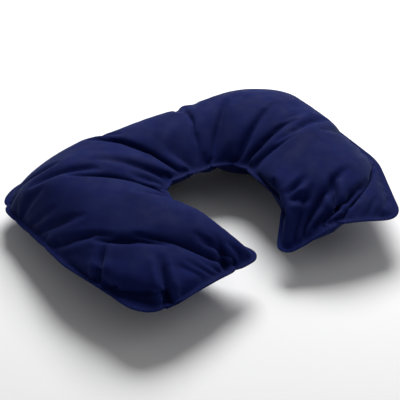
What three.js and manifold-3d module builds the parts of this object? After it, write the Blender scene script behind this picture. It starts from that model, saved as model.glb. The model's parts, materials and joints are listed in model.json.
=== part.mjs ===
// Inflatable U-shaped pillow, in millimetres, +Z up.
// It lies on z = 0 with the back of the U towards +Y and the open ends of its arms towards -Y.
// Two flocked vinyl sheets are welded together round one outline, with a flat weld margin outside
// the weld line. A push-in valve with a tethered plug sits in the lower sheet, in the middle of
// the back, and a one-way flap closes the inner end of its stem.

import * as THREE from "three";
import { mergeVertices } from "three/addons/utils/BufferGeometryUtils.js";
import Module from "manifold-3d";

const wasm = await Module();
wasm.setup();

// Inflated pillow
const HEIGHT = 98;
const DEPTH = 310; // back to arm ends, over the weld margins
const MARGIN = 6; // flat weld margin outside the weld line
const SHEET = 0.8; // vinyl film with its flock
const GAP = 0.3; // clearance between neighbouring pieces
const SEAM_Z = HEIGHT / 2;
const RISE = HEIGHT / 2 - GAP / 2 - SHEET; // crown of a sheet above its edge
const LOWER_RISE = RISE + 3; // before what it lies on presses the lower sheet flat

// Plan of the weld line, for the left half
const BACK_Y = DEPTH / 2 - MARGIN;
const END_Y = -BACK_Y;
const BACK_CORNER_X = 209;
const BACK_RADIUS = 62;
const END_OUTER_X = 158;
const END_INNER_X = 26;
const END_SLANT = 24; // how much sooner an arm ends at its inner corner
const END_RADIUS = 18; // rounding of an arm end's two corners
const END_BULGE = 62; // length over which an arm's end rises to the full crown
const THROAT_Y = 38;
const THROAT_X = 58;
const THROAT_RADIUS = 36;

// Grid of a sheet
const END_STEPS = 4;
const STEPS = { arm: 7, arc: 8, back: 3 };
const ACROSS = 12;

// Valve, along its own outward axis w, from w = 0 at the lower sheet's outer surface
const VALVE_TILT = THREE.MathUtils.degToRad(25); // below the horizontal
const HOLE_R = 11;
const FLANGE_R = 16;
const FLANGE_BORE_R = 10.5;
const FLANGE_THICK = 1;
const STEM_R = 4.5;
const STEM_BORE_R = 3.2;
const RIM_W = -1.3; // outer end of the stem
const STEM_LENGTH = 12.2;
const LIP_R = 5;
const LIP_THICK = 1.2;
const FOOT_R = 6;
const FOOT_THICK = 0.8;
const CUP_THICK = 0.6;
const CUP_TOP_R = 10.1;
const CUP_TOP_W = -2.3;
const FLAP_R = 4.2;
const FLAP_THICK = 0.7;
const FLAP_HINGE_R = 4.6; // the flap's fold line, from the valve's axis
const CAP_R = 5;
const CAP_THICK = 1.8;
const PLUG_LENGTH = 4.5;
const PLUG_TIP = 0.6; // rounded tip below that length
const PLUG_PLAY = 0.1; // between the plug and the bore's far wall as it swings out
const HINGE_R = 6; // the strap's fold line, from the valve's axis
const STRAP_WIDTH = 4;
const STRAP_THICK = 0.8;
const ROUND_SEGMENTS = 24;

const FLOCK = new THREE.MeshStandardMaterial({ color: 0x141c50, roughness: 0.95, metalness: 0 });
const VINYL = new THREE.MeshStandardMaterial({ color: 0x1c2a6e, roughness: 0.4, metalness: 0 });

// ---- Solids and booleans ----

function solidOf(geometry, matrix = new THREE.Matrix4()) {
  const bare = geometry.clone().applyMatrix4(matrix);
  bare.deleteAttribute("normal");
  bare.deleteAttribute("uv");
  const merged = mergeVertices(bare, 1e-4);
  return new wasm.Manifold(
    new wasm.Mesh({
      numProp: 3,
      vertProperties: merged.attributes.position.array,
      triVerts: new Uint32Array(merged.index.array),
    }),
  );
}

function geometryOf(solid) {
  const mesh = solid.getMesh();
  const geometry = new THREE.BufferGeometry();
  geometry.setAttribute("position", new THREE.BufferAttribute(mesh.vertProperties, 3));
  geometry.setIndex(new THREE.BufferAttribute(mesh.triVerts, 1));
  geometry.computeVertexNormals();
  return geometry;
}

function named(name, geometry, material) {
  const mesh = new THREE.Mesh(geometry, material);
  mesh.name = name;
  return mesh;
}

// ---- Outline of the pillow ----

// Points from near `from`, round `corner` with `radius`, to `to`. The first lies END_RADIUS along.
function edgePath(from, corner, to, radius) {
  const back = from.clone().sub(corner).normalize();
  const onward = to.clone().sub(corner).normalize();
  const half = back.angleTo(onward) / 2;
  const reach = radius / Math.tan(half);
  const start = corner.clone().addScaledVector(back, reach);
  const end = corner.clone().addScaledVector(onward, reach);
  const inward = back.clone().add(onward).normalize();
  const centre = corner.clone().addScaledVector(inward, radius / Math.sin(half));
  const startAngle = start.clone().sub(centre).angle();
  const endAngle = end.clone().sub(centre).angle();
  const arc = new THREE.EllipseCurve(centre.x, centre.y, radius, radius, startAngle, endAngle, true);
  const first = from.clone().addScaledVector(back, -END_RADIUS);
  return [
    ...new THREE.LineCurve(first, start).getPoints(STEPS.arm).slice(0, -1),
    ...arc.getPoints(STEPS.arc).slice(0, -1),
    ...new THREE.LineCurve(end, to).getPoints(STEPS.back),
  ];
}

const outerEnd = new THREE.Vector2(-END_OUTER_X, END_Y);
const innerEnd = new THREE.Vector2(-END_INNER_X, END_Y + END_SLANT);
const backCorner = new THREE.Vector2(-BACK_CORNER_X, BACK_Y);
const throatCorner = new THREE.Vector2(-THROAT_X, THROAT_Y);
const outerPath = edgePath(outerEnd, backCorner, new THREE.Vector2(0, BACK_Y), BACK_RADIUS);
const innerPath = edgePath(innerEnd, throatCorner, new THREE.Vector2(0, THROAT_Y), THROAT_RADIUS);
const outerAlong = outerPath[0].clone().sub(outerEnd).normalize();
const innerAlong = innerPath[0].clone().sub(innerEnd).normalize();

// Share of the full crown at a distance from an arm's end.
function crownShare(distance) {
  const t = THREE.MathUtils.clamp(distance / END_BULGE, 0, 1);
  return Math.sqrt(1 - (1 - t) ** 2);
}

// A pair of points across the pillow, each moved in from its edge.
function station(outer, inner, inset, crown) {
  const across = inner.clone().sub(outer).normalize();
  return {
    outer: outer.clone().addScaledVector(across, inset),
    inner: inner.clone().addScaledVector(across, -inset),
    crown,
  };
}

// Stations from the left arm's end to the right arm's end, with the whole outline moved in by `inset`.
function stations(inset) {
  const left = [];
  const round = END_RADIUS - inset;
  for (let i = 0; i < END_STEPS; i += 1) {
    const angle = (i / END_STEPS) * (Math.PI / 2);
    const along = inset + round * (1 - Math.cos(angle));
    const outer = outerEnd.clone().addScaledVector(outerAlong, along);
    const inner = innerEnd.clone().addScaledVector(innerAlong, along);
    left.push(station(outer, inner, inset + round * (1 - Math.sin(angle)), crownShare(along - inset)));
  }
  const endMiddle = outerEnd.clone().lerp(innerEnd, 0.5);
  outerPath.forEach((outer, i) => {
    const middle = outer.clone().lerp(innerPath[i], 0.5);
    left.push(station(outer, innerPath[i], inset, crownShare(middle.distanceTo(endMiddle) - inset)));
  });
  const mirror = (point) => new THREE.Vector2(-point.x, point.y);
  const right = left.slice(0, -1).reverse();
  return [...left, ...right.map((s) => ({ outer: mirror(s.outer), inner: mirror(s.inner), crown: s.crown }))];
}

// Rows of points over the pillow: a dome that rises by `rise` from the height `base`, cut off flat
// `inset` below the pillow's full height.
function dome(inset, base, rise) {
  const top = HEIGHT - Math.max(0, inset);
  return stations(inset).map(({ outer, inner, crown }) =>
    Array.from({ length: ACROSS + 1 }, (_, j) => {
      const angle = (j / ACROSS) * Math.PI;
      const point = outer.clone().lerp(inner, (1 - Math.cos(angle)) / 2);
      const height = Math.min(top, base + rise * crown * Math.sin(angle));
      return new THREE.Vector3(point.x, point.y, height);
    }),
  );
}

// The points round the edge of a grid of rows.
function perimeter(rows) {
  const last = rows.length - 1;
  return [
    ...rows.map((row) => row[0]),
    ...rows[last].slice(1),
    ...rows.slice(0, last).reverse().map((row) => row[ACROSS]),
    ...rows[0].slice(1, ACROSS).reverse(),
  ];
}

// ---- Faces between rows and rings of points ----

function quad(faces, a, b, c, d) {
  faces.push(a, b, c, a, c, d);
}

function gridFaces(faces, rows, upward) {
  for (let i = 0; i + 1 < rows.length; i += 1)
    for (let j = 0; j < ACROSS; j += 1) {
      const corners = [rows[i][j], rows[i][j + 1], rows[i + 1][j + 1], rows[i + 1][j]];
      quad(faces, ...(upward ? corners : corners.reverse()));
    }
}

function ringFaces(faces, from, to) {
  from.forEach((point, i) => {
    const next = (i + 1) % from.length;
    quad(faces, point, from[next], to[next], to[i]);
  });
}

function geometryFrom(faces) {
  return mergeVertices(new THREE.BufferGeometry().setFromPoints(faces), 1e-4);
}

// The same geometry turned over about the weld plane.
function turnedOver(geometry) {
  const position = geometry.attributes.position;
  for (let i = 0; i < position.count; i += 1) position.setZ(i, 2 * SEAM_Z - position.getZ(i));
  geometry.setIndex(Array.from(geometry.index.array).reverse());
  return geometry;
}

// ---- The two sheets ----

// A sheet, dome up: a wall of thickness SHEET with the flat weld margin round it.
function sheet(rise) {
  const base = SEAM_Z + GAP / 2;
  const outside = dome(0, base + SHEET, rise);
  const inside = dome(SHEET, base, rise);
  const rimTop = perimeter(dome(-MARGIN, base + SHEET, 0));
  const rimUnder = perimeter(dome(-MARGIN, base, 0));
  const faces = [];
  gridFaces(faces, outside, true);
  ringFaces(faces, perimeter(outside), rimTop);
  ringFaces(faces, rimTop, rimUnder);
  ringFaces(faces, rimUnder, perimeter(inside));
  gridFaces(faces, inside, false);
  return geometryFrom(faces);
}

// A solid that fills the lower sheet's dome, starting `inset` within its outer surface.
function lowerFill(inset) {
  const base = SEAM_Z + GAP / 2 + SHEET - inset;
  const faces = [];
  gridFaces(faces, dome(inset, base, LOWER_RISE), true);
  gridFaces(faces, dome(inset, base, 0), false);
  return solidOf(turnedOver(geometryFrom(faces)));
}

// ---- The valve ----

// The valve's frame: its Z is the valve's outward axis w, and its -Y points up the pillow's flank.
const flankHalf = (BACK_Y - THROAT_Y) / 2;
const flankAngle = Math.atan((Math.tan(VALVE_TILT) * LOWER_RISE) / flankHalf);
const valve = new THREE.Group();
valve.position.set(
  0,
  (BACK_Y + THROAT_Y) / 2 + flankHalf * Math.cos(flankAngle),
  SEAM_Z - GAP / 2 - SHEET - LOWER_RISE * Math.sin(flankAngle),
);
valve.rotation.x = -(Math.PI / 2 + VALVE_TILT);
valve.updateMatrixWorld();

// A body of revolution about w, from [radius, w] corners that run anticlockwise, with w upwards.
function turned(profile) {
  const points = profile.map(([radius, w]) => new THREE.Vector2(radius, w));
  return new THREE.LatheGeometry(points, ROUND_SEGMENTS).rotateX(Math.PI / 2);
}

// The same for a ring-shaped body, whose profile closes on itself.
function turnedRing(profile) {
  return turned([...profile, profile[0]]);
}

function drum(radius, low, high) {
  const cylinder = new THREE.CylinderGeometry(radius, radius, high - low, ROUND_SEGMENTS);
  return solidOf(cylinder.rotateX(Math.PI / 2).translate(0, 0, (low + high) / 2), valve.matrixWorld);
}

const REACH = 2 * HOLE_R; // longer than any wall that a drum cuts through

function lowerSheet() {
  const whole = solidOf(turnedOver(sheet(LOWER_RISE)));
  return geometryOf(whole.subtract(drum(HOLE_R, -REACH / 2, REACH / 2)));
}

// The flange welded inside the lower sheet, following its curve.
function valveBase() {
  const layer = lowerFill(SHEET + GAP).subtract(lowerFill(SHEET + GAP + FLANGE_THICK));
  const disc = drum(FLANGE_R, -REACH / 2, REACH / 2).subtract(drum(FLANGE_BORE_R, -REACH, REACH));
  return geometryOf(layer.intersect(disc));
}

const stemEndW = RIM_W - STEM_LENGTH;

// The thin cup that lets the stem be pushed in flush or pulled out.
function valveCup() {
  const steps = 5;
  const outside = [];
  const inside = [];
  for (let i = 0; i <= steps; i += 1) {
    const t = i / steps;
    const radius = THREE.MathUtils.lerp(FOOT_R + GAP, CUP_TOP_R - CUP_THICK, t);
    const w = THREE.MathUtils.lerp(stemEndW, CUP_TOP_W, t ** 1.4);
    inside.unshift([radius, w]);
    outside.push([radius + CUP_THICK, w]);
  }
  return turnedRing([...outside, ...inside]);
}

// The tube that air goes in through, with a lug beside its rim that carries the plug's strap.
function valveStem() {
  const lipW = RIM_W - LIP_THICK;
  const footW = stemEndW + FOOT_THICK;
  const tube = turnedRing([
    [STEM_BORE_R, stemEndW],
    [FOOT_R, stemEndW],
    [FOOT_R, footW],
    [STEM_R, footW],
    [STEM_R, lipW],
    [LIP_R, lipW],
    [LIP_R, RIM_W],
    [STEM_BORE_R, RIM_W],
  ]);
  const lug = new THREE.BoxGeometry(STRAP_WIDTH, HINGE_R - STEM_BORE_R, LIP_THICK);
  lug.translate(0, -(HINGE_R + STEM_BORE_R) / 2 - GAP, RIM_W - GAP - LIP_THICK / 2);
  return geometryOf(solidOf(tube).add(solidOf(lug)));
}

// A disc that closes the stem's inner end, with a tab out to its fold line.
function checkFlap() {
  const halfTab = FLAP_R / 2;
  const joinAngle = -Math.acos(halfTab / FLAP_R);
  const outline = new THREE.Shape();
  outline.absarc(0, 0, FLAP_R, joinAngle, Math.PI - joinAngle, false);
  outline.lineTo(-halfTab, -FLAP_HINGE_R);
  outline.lineTo(halfTab, -FLAP_HINGE_R);
  const curveSegments = ROUND_SEGMENTS / 2;
  return new THREE.ExtrudeGeometry(outline, { depth: FLAP_THICK, bevelEnabled: false, curveSegments });
}

// The cap and the plug below it, with the cap's underside at 0. The plug narrows along the arc that
// its far side follows about the strap's fold line, so that it swings out of the bore.
function plugWithCap() {
  const sweep = HINGE_R + STEM_BORE_R - PLUG_PLAY;
  const radiusAt = (depth) => Math.sqrt(sweep ** 2 - depth ** 2) - HINGE_R;
  const deepest = GAP + PLUG_LENGTH;
  const steps = 5;
  const sides = [];
  for (let i = 0; i <= steps; i += 1) {
    const depth = THREE.MathUtils.lerp(deepest, GAP, i / steps);
    sides.push([radiusAt(depth), -depth]);
  }
  const chamfer = CAP_THICK / 4;
  return turned([
    [0, -deepest - PLUG_TIP],
    ...sides,
    [radiusAt(GAP), 0],
    [CAP_R, 0],
    [CAP_R, CAP_THICK - chamfer],
    [CAP_R - chamfer, CAP_THICK],
    [0, CAP_THICK],
  ]);
}

// The strap, from its fold line above the lug up and over to the cap's edge.
function plugStrap() {
  const capSide = -(CAP_R + GAP);
  const farSide = -(HINGE_R + STRAP_THICK / 4);
  const legSide = farSide + STRAP_THICK;
  const under = CAP_THICK / 3;
  const over = under + STRAP_THICK;
  const foot = -GAP / 2;
  const corners = [
    [capSide, under],
    [capSide, over],
    [farSide + STRAP_THICK / 4, over],
    [farSide, over - STRAP_THICK / 4],
    [farSide, foot],
    [legSide, foot],
    [legSide, under],
  ];
  const outline = new THREE.Shape(corners.map(([y, w]) => new THREE.Vector2(y, w)));
  const strip = new THREE.ExtrudeGeometry(outline, { depth: STRAP_WIDTH, bevelEnabled: false });
  strip.translate(0, 0, -STRAP_WIDTH / 2);
  const [x, y, z] = [new THREE.Vector3(1, 0, 0), new THREE.Vector3(0, 1, 0), new THREE.Vector3(0, 0, 1)];
  return strip.applyMatrix4(new THREE.Matrix4().makeBasis(y, z, x));
}

// ---- Assembly ----

const flap = named("check_flap", checkFlap(), VINYL);
flap.position.z = stemEndW - GAP - FLAP_THICK;

const closure = new THREE.Group();
closure.position.z = RIM_W + GAP;
closure.add(named("plug", plugWithCap(), VINYL), named("plug_strap", plugStrap(), VINYL));

valve.add(named("valve_diaphragm", valveCup(), VINYL), named("valve_stem", valveStem(), VINYL));
valve.add(flap, closure);

const pillow = new THREE.Group();
pillow.add(named("top_panel", sheet(RISE), FLOCK), named("bottom_panel", lowerSheet(), FLOCK));
pillow.add(named("valve_base", valveBase(), VINYL), valve);

export default pillow;
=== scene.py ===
import json
import math

import bmesh
import bpy
import numpy as np
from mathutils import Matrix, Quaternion, Vector
from mathutils.bvhtree import BVHTree
from mathutils.geometry import delaunay_2d_cdt
from mathutils.kdtree import KDTree


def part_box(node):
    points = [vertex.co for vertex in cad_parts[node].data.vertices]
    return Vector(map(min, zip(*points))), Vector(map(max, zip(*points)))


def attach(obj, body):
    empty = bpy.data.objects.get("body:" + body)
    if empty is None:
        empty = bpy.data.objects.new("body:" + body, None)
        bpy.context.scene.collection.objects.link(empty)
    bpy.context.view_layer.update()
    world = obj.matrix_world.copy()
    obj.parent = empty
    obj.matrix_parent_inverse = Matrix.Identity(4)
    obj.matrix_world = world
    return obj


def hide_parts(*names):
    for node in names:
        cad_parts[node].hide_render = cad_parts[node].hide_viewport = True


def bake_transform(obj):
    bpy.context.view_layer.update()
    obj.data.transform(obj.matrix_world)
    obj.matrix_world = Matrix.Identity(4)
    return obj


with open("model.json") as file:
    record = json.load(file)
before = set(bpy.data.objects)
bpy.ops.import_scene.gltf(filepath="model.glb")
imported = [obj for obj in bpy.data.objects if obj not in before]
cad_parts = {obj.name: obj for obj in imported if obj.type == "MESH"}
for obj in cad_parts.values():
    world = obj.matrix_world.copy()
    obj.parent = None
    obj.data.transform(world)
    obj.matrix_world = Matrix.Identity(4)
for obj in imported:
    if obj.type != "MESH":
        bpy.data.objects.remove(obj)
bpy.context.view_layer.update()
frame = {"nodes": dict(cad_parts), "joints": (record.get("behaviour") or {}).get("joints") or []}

MM = 0.001
STEP = 5.5  # spacing of the sheets' points in the flat, mm
FRAMES = 50
FORMED_BY = 24  # the frame at which the weld has reached its formed place
MID_HEIGHT = 49  # how high the flat bag lies while it is blown up, mm
FLAT_LIFT = 3.0  # how far each flat sheet starts from the middle plane, mm
LIFT_WITHIN = 20  # distance from the weld over which a sheet reaches that lift, mm
UNEVEN = 0.05  # spread of the small unevenness of the flat sheets, mm
CLEAR_OF_WELD = 0.62  # nearest inner point to the weld line, as a share of STEP
ARC_POINTS = 25  # points on each rounded corner, an odd number
MARGIN = 6.0  # weld margin outside the weld line, mm
FILM = 0.5 * MM  # vinyl film with its flock
PRESS = 4.0  # how far the table presses the lower sheet in, mm
PRESS_ROUNDING = 2.5  # half-height over which the pressed patch runs out, mm
UPPER, LOWER, WELD = 0, 1, 2  # kinds of face: upper sheet, lower sheet, weld margin

# Corners of the weld line lying flat: x, y and radius, mm, round the outline from the back's left
FLAT = [
    (-224, 151, 84),
    (0, 158, 400),
    (224, 151, 84),
    (248, -74, 150),
    (252, -187, 24),
    (166, -196, 300),
    (70, -190, 12),
    (70, -131, 200),
    (76, 9, 70),
    (-76, 9, 70),
    (-71, -122, 200),
    (-69, -190, 12),
    (-164, -195, 300),
    (-251, -183, 30),
    (-246, -60, 150),
]
# The same corners once the pillow is blown up: x, y, radius and height, mm
FORMED = [
    (-207, 144, 44, 26),
    (0, 150, 400, 42),
    (207, 149, 60, 44),
    (195, -58, 80, 44),
    (148, -153, 20, 42),
    (79, -137, 15, 50),
    (15, -123, 5, 28),
    (52, -82, 12, 52),
    (58, 32, 33, 50),
    (-58, 32, 33, 50),
    (-50, -70, 30, 48),
    (-17, -123, 6, 36),
    (-86, -139, 30, 43),
    (-157, -151, 32, 41),
    (-192, -40, 100, 42),
]
# Tucks of the welded rim: place (1.5 is half-way from the second corner to the
# third), half-width in the flat, share of the length taken up, and how far the rim goes in and down
# there, mm
TUCKS = [
    (5.0, 7, 0.8, 7, 0),
    (7.0, 7, 0.7, 4, 0),
    (7.75, 6, 0.8, 4, 0),
    (8.0, 6, 0.8, 4, 0),
    (8.3, 6, 0.7, 4, 0),
    (8.6, 6, 0.7, 4, 0),
    (8.85, 6, 0.8, 4, 0),
    (9.1, 6, 0.8, 4, 0),
    (9.4, 6, 0.8, 4, 0),
    (11.45, 7, 0.85, 6, 2),
    (12.75, 7, 0.9, 9, 2),
    (13.45, 7, 0.85, 6, 2),
    (14.25, 5, 0.3, 1, 0),
    (14.45, 5, 0.3, 1, 0),
    (14.65, 5, 0.4, 1, 0),
    (14.87, 7, 0.85, 8, 0),
]
# Chosen for the look of the folds, not measured
CLOTH = dict(mass=0.15, tension=200.0, compression=0.4, shear=1.5, bending=1.0, pressure=68.0)
# Deep creases of the upper sheet, pressed in once the sheet is blown up: rim end, inner end, depth
# and half-width, mm
CREASES = [
    ((-136, -151), (-119, -103), 8, 4),
    ((-180, -86), (-157, -58), 5, 3.5),
    ((-61, -134), (-52, -102), 4, 3.5),
    ((84, -126), (104, -92), 6, 4),
    ((48, -88), (78, -80), 4, 3.5),
    ((46, -92), (68, -104), 4, 3.5),
]


# ---- Outlines ----


def unit(vector):
    return vector / np.linalg.norm(vector)


def rounded_path(corners):
    """A closed path round rounded corners, its running length, and the length at each corner's middle."""
    places = [np.array(corner[:2], float) for corner in corners]
    path, middles = [], []
    for i, (place, corner) in enumerate(zip(places, corners)):
        back = unit(places[i - 1] - place)
        onward = unit(places[(i + 1) % len(places)] - place)
        half = math.acos(np.clip(back @ onward, -1, 1)) / 2
        centre = place + unit(back + onward) * corner[2] / math.sin(half)
        start = place + back * corner[2] / math.tan(half) - centre
        end = place + onward * corner[2] / math.tan(half) - centre
        angle = math.atan2(start[1], start[0])
        turn = (math.atan2(end[1], end[0]) - angle + math.pi) % (2 * math.pi) - math.pi
        angles = angle + turn * np.linspace(0, 1, ARC_POINTS)
        middles.append(len(path) + ARC_POINTS // 2)
        path += list(centre + corner[2] * np.stack([np.cos(angles), np.sin(angles)], 1))
    path = np.array(path + [path[0]])
    lengths = np.linalg.norm(np.diff(path, axis=0), axis=1)
    running = np.concatenate([[0], np.cumsum(lengths)])
    return path, running, running[middles]


def along(path, running, at):
    """Points of a path at given running lengths."""
    return np.stack([np.interp(at, running, path[:, k]) for k in (0, 1)], 1)


def closed(marks, total):
    """Marks on a closed path, with the last one before the first and the first one after the last."""
    return np.concatenate([[marks[-1] - total], marks, [marks[0] + total]])


def round_curve(values, turn):
    """A smooth curve through a closed list of values, at turn = 0 for the first, 1 for the second."""
    values = np.array(values, float)
    i = np.floor(turn).astype(int)
    t = turn - i
    a, b, c, d = (values[(i + k) % len(values)] for k in (-1, 0, 1, 2))
    return b + 0.5 * t * (c - a + t * (2 * a - 5 * b + 4 * c - d + t * (3 * (b - c) + d - a)))


def outward(loop):
    """Outward normals of a closed loop of points."""
    tangent = np.roll(loop, -1, 0) - np.roll(loop, 1, 0)
    tangent /= np.linalg.norm(tangent, axis=1)[:, None]
    return np.stack([tangent[:, 1], -tangent[:, 0]], 1) * (1 if turning(loop) > 0 else -1)


def turning(loop):
    """Twice the signed area of a closed loop."""
    ahead = np.roll(loop, -1, 0)
    return np.sum(loop[:, 0] * ahead[:, 1] - ahead[:, 0] * loop[:, 1])


def inside(points, loop):
    """Which points lie inside a closed loop."""
    x, y = points.T
    held = np.zeros(len(points), bool)
    for (x0, y0), (x1, y1) in zip(loop, np.roll(loop, -1, 0)):
        across = (y0 > y) != (y1 > y)
        held ^= across & (x < (x1 - x0) * (y - y0) / (y1 - y0 + 1e-12) + x0)
    return held


def distance(points, loop):
    """How far each point is from a closed loop."""
    best = np.full(len(points), np.inf)
    for start, end in zip(loop, np.roll(loop, -1, 0)):
        run = end - start
        t = np.clip(((points - start) @ run) / (run @ run), 0, 1)
        best = np.minimum(best, np.linalg.norm(points - start - t[:, None] * run, axis=1))
    return best


# ---- The two flat sheets ----


def seam_points():
    """The weld line's points in the flat, and where the blown-up pillow takes them."""
    flat_path, flat_run, flat_marks = rounded_path(FLAT)
    formed_path, formed_run, formed_marks = rounded_path(FORMED)
    total = flat_run[-1]
    count = int(round(total / STEP))
    at = (np.arange(count) + 0.5) * total / count
    turns = np.arange(-1, len(FLAT) + 1)
    share, inward, down = np.ones(count), np.zeros(count), np.zeros(count)
    for place, width, taken, dent, drop in TUCKS:
        gap = at - np.interp(place, turns, closed(flat_marks, total))
        gap = (gap + total / 2) % total - total / 2
        bell = np.exp(-((gap / width) ** 2))
        share *= 1 - taken * bell
        inward += dent * bell
        down += drop * bell
    passed = np.cumsum(share) - share / 2
    passed_marks = np.interp(flat_marks, at, passed)
    laid = np.interp(passed, closed(passed_marks, share.sum()), closed(formed_marks, formed_run[-1]))
    turn = np.interp(passed, closed(passed_marks, share.sum()), turns)
    flat = along(flat_path, flat_run, at)
    formed = along(formed_path, formed_run, laid % formed_run[-1])
    formed -= outward(formed) * inward[:, None]
    height = round_curve([corner[3] for corner in FORMED], turn % len(FLAT)) - down
    return flat, formed, height


def fill_points(seam):
    """An even triangular spread of points inside the weld line."""
    low, high = seam.min(0), seam.max(0)
    rows = []
    for j, y in enumerate(np.arange(low[1], high[1], STEP * math.sqrt(3) / 2)):
        x = np.arange(low[0] + (STEP / 2 if j % 2 else 0), high[0], STEP)
        rows.append(np.column_stack([x, np.full(len(x), y)]))
    points = np.concatenate(rows)
    points = points[inside(points, seam)]
    return points[distance(points, seam) > CLEAR_OF_WELD * STEP]


def bag():
    """Both sheets and the weld margin as one mesh: start places, end places of the margin, faces and
    each face's kind."""
    seam, formed, height = seam_points()
    count = len(seam)
    loop = list(range(count)) if turning(seam) > 0 else list(range(count))[::-1]
    everything = np.concatenate([seam, fill_points(seam)])
    edges = [(i, (i + 1) % count) for i in range(count)]
    net = delaunay_2d_cdt([Vector(p) for p in everything], edges, [loop], 1, 1e-5)
    net_places, net_faces, net_sources = net[0], net[2], net[3]
    places = np.array([list(p) for p in net_places])
    found = {i: new for new, old in enumerate(net_sources) for i in old}
    rim = np.array([found[i] for i in range(count)])
    size = len(places)
    on_seam = np.zeros(size, bool)
    on_seam[rim] = True
    lift = FLAT_LIFT * np.sqrt(np.minimum(1, distance(places, seam) / LIFT_WITHIN))
    lift += np.where(on_seam, 0, np.random.default_rng(3).normal(0, UNEVEN, size))
    edge = seam + outward(seam) * MARGIN
    start = np.concatenate(
        [
            np.column_stack([places, lift]),
            np.column_stack([places, -lift]),
            np.column_stack([edge, np.zeros(count)]),
        ]
    )
    end = start.copy()
    end[rim] = np.column_stack([formed, height])
    end[2 * size :] = np.column_stack([formed + outward(formed) * MARGIN, height])
    under = np.where(on_seam, np.arange(size), size + np.arange(size))
    faces, kinds = [], []
    for face in net_faces:
        a, b, c = (places[i] for i in face)
        upward = face if np.cross(b - a, c - a) > 0 else face[::-1]
        faces += [tuple(upward), tuple(int(under[i]) for i in upward[::-1])]
        kinds += [UPPER, LOWER]
    for i in range(count):
        j = (i + 1) % count
        here, ahead = int(rim[i]), int(rim[j])
        faces += [(here, ahead, 2 * size + j), (here, 2 * size + j, 2 * size + i)]
        kinds += [WELD, WELD]
    used = np.unique(np.concatenate([np.array(face) for face in faces]))
    renumber = np.full(len(start), -1)
    renumber[used] = np.arange(len(used))
    faces = [tuple(int(renumber[i]) for i in face) for face in faces]
    return start[used], end[used], faces, np.array(kinds)


def mesh_object(name, points, faces):
    mesh = bpy.data.meshes.new(name)
    mesh.from_pydata([tuple(p) for p in points], [], faces)
    mesh.update()
    thing = bpy.data.objects.new(name, mesh)
    bpy.context.scene.collection.objects.link(thing)
    return thing


def final_places(thing):
    shape = thing.evaluated_get(bpy.context.evaluated_depsgraph_get()).to_mesh()
    places = np.zeros(len(shape.vertices) * 3)
    shape.vertices.foreach_get("co", places)
    return places.reshape(-1, 3)


def inflate(start, end, faces, kinds):
    """Blows the bag up while its weld margin moves to its formed place."""
    margin = np.zeros(len(start), bool)
    for face, kind in zip(faces, kinds):
        if kind == WELD:
            margin[list(face)] = True
    bag_object = mesh_object("bag", start * MM, faces)
    bag_object.shape_key_add(name="Basis")
    formed = bag_object.shape_key_add(name="formed")
    goal = start.copy()
    goal[margin] = end[margin] - (0, 0, MID_HEIGHT)
    formed.data.foreach_set("co", (goal * MM).ravel())
    held = bag_object.vertex_groups.new(name="held")
    held.add(np.flatnonzero(margin).tolist(), 1.0, "REPLACE")
    blown = bag_object.vertex_groups.new(name="blown")
    blown.add(np.flatnonzero(~margin).tolist(), 1.0, "REPLACE")
    cloth = bag_object.modifiers.new("blow", "CLOTH")
    settings = cloth.settings
    settings.vertex_group_mass = "held"
    settings.quality = 6
    settings.mass = CLOTH["mass"]
    settings.tension_stiffness = CLOTH["tension"]
    settings.compression_stiffness = CLOTH["compression"]
    settings.shear_stiffness = CLOTH["shear"]
    settings.bending_stiffness = CLOTH["bending"]
    settings.air_damping = 1.0
    settings.use_pressure = True
    settings.uniform_pressure_force = CLOTH["pressure"]
    settings.vertex_group_pressure = "blown"
    settings.effector_weights.gravity = 0
    cloth.collision_settings.use_collision = False
    cloth.point_cache.frame_end = FRAMES
    formed.value = 0.0
    formed.keyframe_insert("value", frame=1)
    formed.value = 1.0
    formed.keyframe_insert("value", frame=FORMED_BY)
    scene = bpy.context.scene
    scene.frame_start, scene.frame_end = 1, FRAMES
    for number in range(1, FRAMES + 1):
        scene.frame_set(number)
    places = final_places(bag_object) / MM
    bpy.data.objects.remove(bag_object)
    for action in list(bpy.data.actions):
        bpy.data.actions.remove(action)
    scene.frame_set(1)
    return places + (0, 0, MID_HEIGHT)


def settle(places):
    """Stands the pillow on z = 0, pressed flat where it touches."""
    height = places[:, 2] - places[:, 2].min() - PRESS
    soft = PRESS_ROUNDING
    pressed = np.where(height < -soft, 0, (height + soft) ** 2 / (4 * soft))
    places[:, 2] = np.where(height > soft, height, pressed)
    places[:, 2] += FILM / MM
    return places


# ---- Sheets as pieces ----


def facing_up(places, face):
    a, b, c = (places[i] for i in face)
    return np.cross(b - a, c - a)[2] > 0


def sheet_piece(name, places, faces, kinds, kind):
    """One sheet with its half of the margin, subdivided once. The margin's faces are marked by slot 1,
    which dress() takes away again."""
    chosen = []
    for face, what in zip(faces, kinds):
        if what == kind:
            chosen.append(face)
        elif what == WELD:
            chosen.append(face if facing_up(places, face) == (kind == UPPER) else face[::-1])
    is_margin = [what == WELD for what in kinds if what in (kind, WELD)]
    used = np.unique(np.concatenate([np.array(face) for face in chosen]))
    renumber = np.full(len(places), -1)
    renumber[used] = np.arange(len(used))
    chosen = [tuple(int(renumber[i]) for i in face) for face in chosen]
    piece = mesh_object(name, places[used] * MM, chosen)
    piece.data.polygons.foreach_set("material_index", np.array(is_margin, int))
    for slot_name in (name + "_a", name + "_b"):
        piece.data.materials.append(bpy.data.materials.new(slot_name))
    smoother = piece.modifiers.new("smoother", "SUBSURF")
    smoother.levels = 1
    bake(piece)
    return piece


def bake(piece):
    """Applies a piece's modifiers to its mesh."""
    graph = bpy.context.evaluated_depsgraph_get()
    mesh = bpy.data.meshes.new_from_object(piece.evaluated_get(graph))
    piece.modifiers.clear()
    piece.data = mesh
    mesh.shade_smooth()


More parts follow.
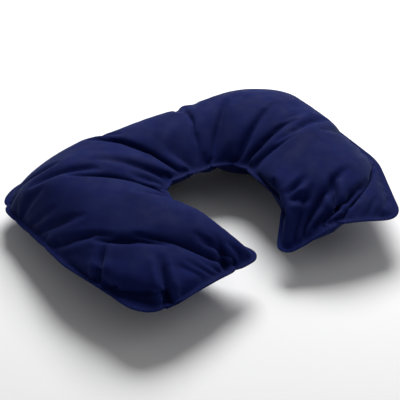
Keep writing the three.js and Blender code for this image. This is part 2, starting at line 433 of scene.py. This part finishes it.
def thicken(piece):
    """Gives a sheet the film's thickness, outwards."""
    wall = piece.modifiers.new("wall", "SOLIDIFY")
    wall.thickness = FILM
    wall.offset = 1.0
    wall.use_quality_normals = True
    bake(piece)


def normals(piece):
    directions = np.zeros(len(piece.data.vertices) * 3)
    piece.data.vertices.foreach_get("normal", directions)
    return directions.reshape(-1, 3)


def crease(piece, rim_end, inner_end, depth, width):
    """A sharp fold with soft lips, running from near the rim up onto the crown. All in mm."""
    places = get_places(piece)
    begin = np.array(rim_end, float) * MM
    run = np.array(inner_end, float) * MM - begin
    length = np.linalg.norm(run)
    offset = places[:, :2] - begin
    t = offset @ run / length**2
    aside = (offset[:, 0] * run[1] - offset[:, 1] * run[0]) / length / (width * MM)
    fade = np.sin(math.pi * np.clip(t, 0, 1) ** 0.6)  # deepest nearer the rim
    lip_height, lip_place = 0.45, 2.2  # as shares of the depth and of the half-width
    valley = np.exp(-(aside**2)) - lip_height * np.exp(-((np.abs(aside) - lip_place) ** 2))
    set_places(piece, places - normals(piece) * (depth * MM * fade * valley)[:, None])


def get_places(piece):
    places = np.zeros(len(piece.data.vertices) * 3)
    piece.data.vertices.foreach_get("co", places)
    return places.reshape(-1, 3)


def set_places(piece, places):
    piece.data.vertices.foreach_set("co", places.ravel())
    piece.data.update()


# ---- The valve ----

JOINTS = {joint["name"]: joint for joint in frame["joints"]}
VALVE_OUT = Vector(JOINTS["valve_recess"]["axis"]).normalized()
VALVE_DOWN = Vector((1, 0, 0)).cross(VALVE_OUT) * -1
HINGE_R = 6 * MM  # the strap's fold line, from the valve's axis
HINGE_DEPTH = 1 * MM
HOLE_R = 11 * MM
HOLE_NEAR = 20 * MM  # a cut edge this near the valve's centre is the hole's
FLANGE_R = 16 * MM
strap_fold = Vector(JOINTS["plug_swing"]["pos_m"])
VALVE_CENTRE = strap_fold + VALVE_DOWN * HINGE_R + VALVE_OUT * HINGE_DEPTH
VALVE_AXES = np.array([(1, 0, 0), VALVE_DOWN, VALVE_OUT])
SEAT_R = 60 * MM  # the lower sheet is drawn onto the flange within this radius
SEAT_REACH = 40 * MM  # and within this distance of the flange's plane
SEAT_RUNOUT = 7 * MM  # distance from the weld margin over which the drawing-in fades
BACK_Y = 0.1  # the flank that holds the valve lies beyond this y, m
CUT_R = 5 * MM  # the sheet is opened at this radius, then stretched to the hole's edge
STRETCHED_R = 30 * MM  # out to which the stretch reaches
CUP_WALL = 0.55  # mm
CUP_FOOT_R, CUP_MOUTH_R = 6.35, 9.45  # inside radii where the cup meets stem and flange, mm
CUP_FOOT, CUP_MOUTH = -13.5, -2.3  # and their places out along the axis, mm
CUP_FOLD = 0.25  # how far the rolled fold stands out, mm
CUP_STEPS = 16
STRAP_HALF = 0.3 * MM  # half-thickness of the plug's strap
FOLD_HALF_WIDTH = 0.35 * MM


def in_valve(places):
    """Places as x, down the flank, and out along the valve's axis."""
    offset = places - np.array(VALVE_CENTRE)
    return offset @ VALVE_AXES.T


def from_valve(local):
    """The reverse of in_valve."""
    return np.array(VALVE_CENTRE) + np.asarray(local, float) @ VALVE_AXES


def valve_point(x, down, out):
    return Vector(from_valve([(x, down, out)])[0])


def smooth_step(t):
    t = np.clip(t, 0, 1)
    return t * t * (3 - 2 * t)


def reach_from_margin(piece):
    """How far each point of a sheet is from its welded margin."""
    welded = {i for face in piece.data.polygons if face.material_index for i in face.vertices}
    tree = KDTree(len(welded))
    for i in welded:
        tree.insert(piece.data.vertices[i].co, i)
    tree.balance()
    return np.array([tree.find(vertex.co)[2] for vertex in piece.data.vertices])


def seat_valve(piece):
    """Brings the lower sheet onto the valve's flange and opens the valve's hole in it."""
    clear = smooth_step(reach_from_margin(piece) / SEAT_RUNOUT)
    solid = frame["nodes"]["bottom_panel"].data
    solid_tree = BVHTree.FromPolygons(
        [v.co for v in solid.vertices], [tuple(p.vertices) for p in solid.polygons]
    )
    places = get_places(piece)
    local = in_valve(places)
    reach = np.hypot(local[:, 0], local[:, 1])
    near = (reach < SEAT_R) & (np.abs(local[:, 2]) < SEAT_REACH) & (places[:, 1] > BACK_Y)
    stretch = (STRETCHED_R - HOLE_R) / (STRETCHED_R - CUT_R)
    spread = np.where(reach < STRETCHED_R, HOLE_R + (reach - CUT_R) * stretch, reach)
    for i in np.flatnonzero(near):
        scale = max(spread[i], HOLE_R) / max(reach[i], 1e-6)
        x, down = local[i, :2] * scale
        share = float(smooth_step((SEAT_R - reach[i]) / (SEAT_R - FLANGE_R))) * clear[i]
        hit = solid_tree.ray_cast(valve_point(x, down, SEAT_REACH), -VALVE_OUT)[0]
        depth = local[i, 2]
        if hit is not None:
            level = (hit - VALVE_CENTRE).dot(VALVE_OUT) - FILM
            depth += (level - depth) * share
        places[i] = valve_point(x, down, depth)
    set_places(piece, places)
    open_hole(piece, near & (reach < CUT_R))


def open_hole(piece, gone):
    """Takes points away and sets the cut edge on the valve's hole."""
    shape = bmesh.new()
    shape.from_mesh(piece.data)
    shape.verts.ensure_lookup_table()
    bmesh.ops.delete(shape, geom=[shape.verts[i] for i in np.flatnonzero(gone)], context="VERTS")
    for vertex in shape.verts:
        if vertex.is_boundary and (vertex.co - VALVE_CENTRE).length < HOLE_NEAR:
            spot = in_valve(np.array([vertex.co]))[0]
            scale = HOLE_R / math.hypot(spot[0], spot[1])
            vertex.co = valve_point(spot[0] * scale, spot[1] * scale, spot[2])
    shape.to_mesh(piece.data)
    shape.free()


def turned(name, profile, segments=48):
    """A body turned about the valve's axis, from a closed list of (radius, out) corners in mm."""
    count = len(profile)
    angles = np.arange(segments) * 2 * math.pi / segments
    local = [
        (r * math.cos(a) * MM, r * math.sin(a) * MM, out * MM) for a in angles for r, out in profile
    ]
    faces = []
    for i in range(segments):
        j = (i + 1) % segments
        for k in range(count):
            m = (k + 1) % count
            faces.append((i * count + k, j * count + k, j * count + m, i * count + m))
    piece = mesh_object(name, from_valve(local), faces)
    piece.data.shade_smooth()
    return piece


def valve_cup():
    """The thin cup between flange and stem, with a rolled fold half-way."""
    outside, inside_wall = [], []
    for i in range(CUP_STEPS + 1):
        t = i / CUP_STEPS
        radius = CUP_FOOT_R + (CUP_MOUTH_R - CUP_FOOT_R) * t + CUP_FOLD * math.sin(math.pi * t) ** 2
        out = CUP_FOOT + (CUP_MOUTH - CUP_FOOT) * t**1.4
        inside_wall.insert(0, (radius, out))
        outside.append((radius + CUP_WALL, out))
    cup = turned("valve_cup", outside + inside_wall)
    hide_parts("valve_diaphragm")
    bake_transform(cup)
    return cup


def valve_strap():
    """The thin tongue that tethers the plug, with a thinner fold line across it."""
    low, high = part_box("plug_strap")
    local = in_valve(np.array([low, high]))
    near, far = sorted(-local[:, 1])
    level = (local[0, 2] + local[1, 2]) / 2
    width = (high.x - low.x) / 2
    across = np.linspace(-1, 1, 7)
    runs = np.linspace(near, far, 9)
    top, bottom = [], []
    for run in runs:
        fold = 1 - 0.45 * math.exp(-(((run - HINGE_R) / FOLD_HALF_WIDTH) ** 2))
        waist = width * (0.86 + 0.14 * abs(run - HINGE_R) / max(far - HINGE_R, HINGE_R - near))
        for side in across:
            half = STRAP_HALF * fold * (1 - 0.35 * side**4)
            top.append((side * waist, -run, level + half))
            bottom.append((side * waist, -run, level - half))
    count = len(top)
    faces = []
    rows, columns = len(runs), len(across)
    for r in range(rows - 1):
        for c in range(columns - 1):
            a = r * columns + c
            b = a + columns
            faces.append((a, a + 1, b + 1, b))
            faces.append((count + b, count + b + 1, count + a + 1, count + a))
    rim = list(range(columns))
    rim += [r * columns + columns - 1 for r in range(1, rows)]
    rim += [(rows - 1) * columns + c for c in range(columns - 2, -1, -1)]
    rim += [r * columns for r in range(rows - 2, 0, -1)]
    for i, here in enumerate(rim):
        ahead = rim[(i + 1) % len(rim)]
        faces.append((ahead, here, count + here, count + ahead))
    strap = mesh_object("plug_tether", from_valve(top + bottom), faces)
    strap.data.shade_smooth()
    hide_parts("plug_strap")
    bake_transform(strap)
    return strap


# ---- Materials ----


MIX_A, MIX_B, MIX_RESULT = 6, 7, 2  # the colour sockets of a mix node


class Shade:
    """A small helper for node materials."""

    def __init__(self, name):
        self.material = bpy.data.materials.new(name)
        self.material.use_nodes = True
        self.tree = self.material.node_tree
        self.shader = self.tree.nodes["Principled BSDF"]
        self.places = self.tree.nodes.new("ShaderNodeTexCoord").outputs["Object"]

    def link(self, source, target):
        self.tree.links.new(source, target)

    def noise(self, scale, detail=3.0, stretch=None):
        node = self.tree.nodes.new("ShaderNodeTexNoise")
        node.inputs["Scale"].default_value = scale
        node.inputs["Detail"].default_value = detail
        source = self.places
        if stretch:
            mapping = self.tree.nodes.new("ShaderNodeMapping")
            mapping.inputs["Scale"].default_value = stretch
            self.link(source, mapping.inputs["Vector"])
            source = mapping.outputs["Vector"]
        self.link(source, node.inputs["Vector"])
        return node.outputs["Fac"]

    def ramp(self, source, stops):
        node = self.tree.nodes.new("ShaderNodeValToRGB")
        elements = node.color_ramp.elements
        while len(elements) < len(stops):
            elements.new(0.5)
        for element, (place, colour) in zip(elements, stops):
            element.position = place
            element.color = (*colour, 1)
        self.link(source, node.inputs["Fac"])
        return node.outputs["Color"]

    def math(self, how, a, b):
        node = self.tree.nodes.new("ShaderNodeMath")
        node.operation = how
        for socket, value in zip(node.inputs, (a, b)):
            if isinstance(value, float):
                socket.default_value = value
            else:
                self.link(value, socket)
        return node.outputs[0]

    def mix(self, share, a, b):
        node = self.tree.nodes.new("ShaderNodeMix")
        node.data_type = "RGBA"
        self.link(share, node.inputs["Factor"])
        for socket, value in zip((node.inputs[MIX_A], node.inputs[MIX_B]), (a, b)):
            if isinstance(value, tuple):
                socket.default_value = (*value, 1)
            else:
                self.link(value, socket)
        return node.outputs[MIX_RESULT]

    def bump(self, source, strength, depth, before=None):
        node = self.tree.nodes.new("ShaderNodeBump")
        node.inputs["Strength"].default_value = strength
        node.inputs["Distance"].default_value = depth
        self.link(source, node.inputs["Height"])
        if before is not None:
            self.link(before, node.inputs["Normal"])
        return node.outputs["Normal"]

    def ridge_highlight(self):
        """1 on ridges and edges: a painted highlight where they catch the light."""
        geometry = self.tree.nodes.new("ShaderNodeNewGeometry")
        return self.ramp(geometry.outputs["Pointiness"], [(0.5, grey(0)), (0.62, grey(1))])

    def set(self, **values):
        for name, value in values.items():
            self.shader.inputs[name.replace("_", " ")].default_value = value


NAVY = (0.0018, 0.0056, 0.0640)
NAVY_DEEP = (0.0010, 0.0032, 0.0460)
# Lighter navy: the brushed flock's random tone, and also the painted highlight on ridges and edges
NAVY_BRUSHED_AND_HIGHLIGHT = (0.0052, 0.0130, 0.0900)
VINYL_NAVY = (0.010, 0.018, 0.110)
# Lighter vinyl: the random mottling, and also the painted highlight on edges
VINYL_MOTTLE_AND_HIGHLIGHT = (0.022, 0.036, 0.170)


def grey(level):
    return (level, level, level)


def flock():
    """Short dense nylon flock on vinyl, brushed one way and the other in soft patches, with ridges and
    edges painted lighter as a painted highlight.
    """
    shade = Shade("flock")
    patches = shade.ramp(shade.noise(26.0, 4.0), [(0.35, NAVY_DEEP), (0.66, NAVY)])
    strokes = shade.noise(120.0, 2.0, stretch=(1.0, 0.35, 1.0))
    brushed = shade.mix(shade.math("MULTIPLY", strokes, 0.35), patches, NAVY_BRUSHED_AND_HIGHLIGHT)
    # Ridges and edges painted lighter: a painted highlight where they catch the light
    colour = shade.mix(shade.math("MULTIPLY", shade.ridge_highlight(), 0.5), brushed, NAVY_BRUSHED_AND_HIGHLIGHT)
    shade.link(colour, shade.shader.inputs["Base Color"])
    coarse = shade.bump(shade.noise(420.0, 2.0), 0.18, 0.0006)
    fine = shade.bump(shade.noise(2600.0, 2.0), 0.5, 0.00025, coarse)
    shade.link(fine, shade.shader.inputs["Normal"])
    rough = shade.ramp(shade.noise(60.0, 3.0), [(0.3, grey(0.80)), (0.7, grey(0.94))])
    shade.link(rough, shade.shader.inputs["Roughness"])
    shade.set(Sheen_Weight=0.09, Sheen_Roughness=0.3, Sheen_Tint=(0.28, 0.5, 1.0, 1))
    shade.set(Specular_IOR_Level=0.12)
    return shade.material


def vinyl():
    """Soft moulded vinyl: a satin skin with faint mottling and a painted highlight on its edges."""
    shade = Shade("soft_vinyl")
    mottled = shade.mix(shade.noise(180.0, 3.0), VINYL_NAVY, VINYL_MOTTLE_AND_HIGHLIGHT)
    # Edges painted lighter: a painted highlight where they catch the light
    colour = shade.mix(shade.math("MULTIPLY", shade.ridge_highlight(), 0.4), mottled, VINYL_MOTTLE_AND_HIGHLIGHT)
    shade.link(colour, shade.shader.inputs["Base Color"])
    skin = shade.bump(shade.noise(900.0, 2.0), 0.25, 0.0002)
    shade.link(skin, shade.shader.inputs["Normal"])
    rough = shade.ramp(shade.noise(300.0, 2.0), [(0.3, grey(0.36)), (0.7, grey(0.5))])
    shade.link(rough, shade.shader.inputs["Roughness"])
    shade.set(IOR=1.53)
    return shade.material


def dress(piece, material):
    """One material all over a piece."""
    piece.data.materials.clear()
    piece.data.materials.append(material)


def dress_node(name, material):
    """One material all over a piece that shows the solid itself."""
    node = frame["nodes"][name]
    for holder in node.material_slots:
        holder.link = "OBJECT"
        holder.material = material


# ---- Making the pieces ----

start, end, faces, kinds = bag()
blown = settle(inflate(start, end, faces, kinds))
upper = sheet_piece("upper_sheet", blown, faces, kinds, UPPER)
lower = sheet_piece("lower_sheet", blown, faces, kinds, LOWER)
seat_valve(lower)
for fold in CREASES:
    crease(upper, *fold)

FLOCK = flock()
VINYL = vinyl()

for piece, node in ((upper, "top_panel"), (lower, "bottom_panel")):
    thicken(piece)
    dress(piece, FLOCK)
    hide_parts(node)
    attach(piece, "pillow")

for piece in (valve_cup(), valve_strap()):
    dress(piece, VINYL)
for name in ("valve_base", "valve_stem", "check_flap", "plug"):
    dress_node(name, VINYL)


# ---- Floor, light and camera ----

AIM = Vector((0, 0, 0.0438))
AZIMUTH, ELEVATION, ROLL = math.radians(-30.7), math.radians(34.4), math.radians(-0.8)
RANGE = 0.985  # from the camera to AIM, m
SENSOR, FOCAL_LENGTH = 36, 76.95  # mm
SHIFT = (-0.0225, -0.02)  # of the lens, in widths of the frame
FLOOR_HALF = 3.0  # m


def floor():
    half = FLOOR_HALF
    corners = [(-half, -half, 0), (half, -half, 0), (half, half, 0), (-half, half, 0)]
    ground = mesh_object("floor", corners, [(0, 1, 2, 3)])
    shade = Shade("floor")
    colour = shade.ramp(shade.noise(3.0, 2.0), [(0.0, grey(0.90)), (1.0, grey(0.93))])
    shade.link(colour, shade.shader.inputs["Base Color"])
    shade.set(Roughness=0.9)
    ground.data.materials.append(shade.material)


def soft_light(name, place, size, power):
    light = bpy.data.lights.new(name, "AREA")
    light.shape = "DISK"
    light.size = size
    light.energy = power
    holder = bpy.data.objects.new(name, light)
    holder.location = place
    holder.rotation_mode = "QUATERNION"
    holder.rotation_quaternion = (AIM - Vector(place)).to_track_quat("-Z", "Y")
    bpy.context.scene.collection.objects.link(holder)


def sky(strength):
    world = bpy.data.worlds.new("studio")
    world.use_nodes = True
    background = world.node_tree.nodes["Background"]
    background.inputs["Color"].default_value = (1, 1, 1, 1)
    background.inputs["Strength"].default_value = strength
    bpy.context.scene.world = world


def camera():
    lens = bpy.data.cameras.new("camera")
    holder = bpy.data.objects.new("camera", lens)
    level = math.cos(ELEVATION)
    back = Vector((math.sin(AZIMUTH) * level, -math.cos(AZIMUTH) * level, math.sin(ELEVATION)))
    holder.location = AIM + back * RANGE
    holder.rotation_mode = "QUATERNION"
    holder.rotation_quaternion = (-back).to_track_quat("-Z", "Y") @ Quaternion((0, 0, 1), ROLL)
    lens.sensor_width = SENSOR
    lens.lens = FOCAL_LENGTH
    lens.shift_x, lens.shift_y = SHIFT
    bpy.context.scene.collection.objects.link(holder)
    bpy.context.scene.camera = holder


bpy.context.scene.view_settings.view_transform = "Standard"
floor()
soft_light("key", (0.6, 0.75, 1.2), 0.95, 31)
soft_light("fill", (0.9, -0.8, 1.2), 1.2, 2)
sky(0.2)
camera()
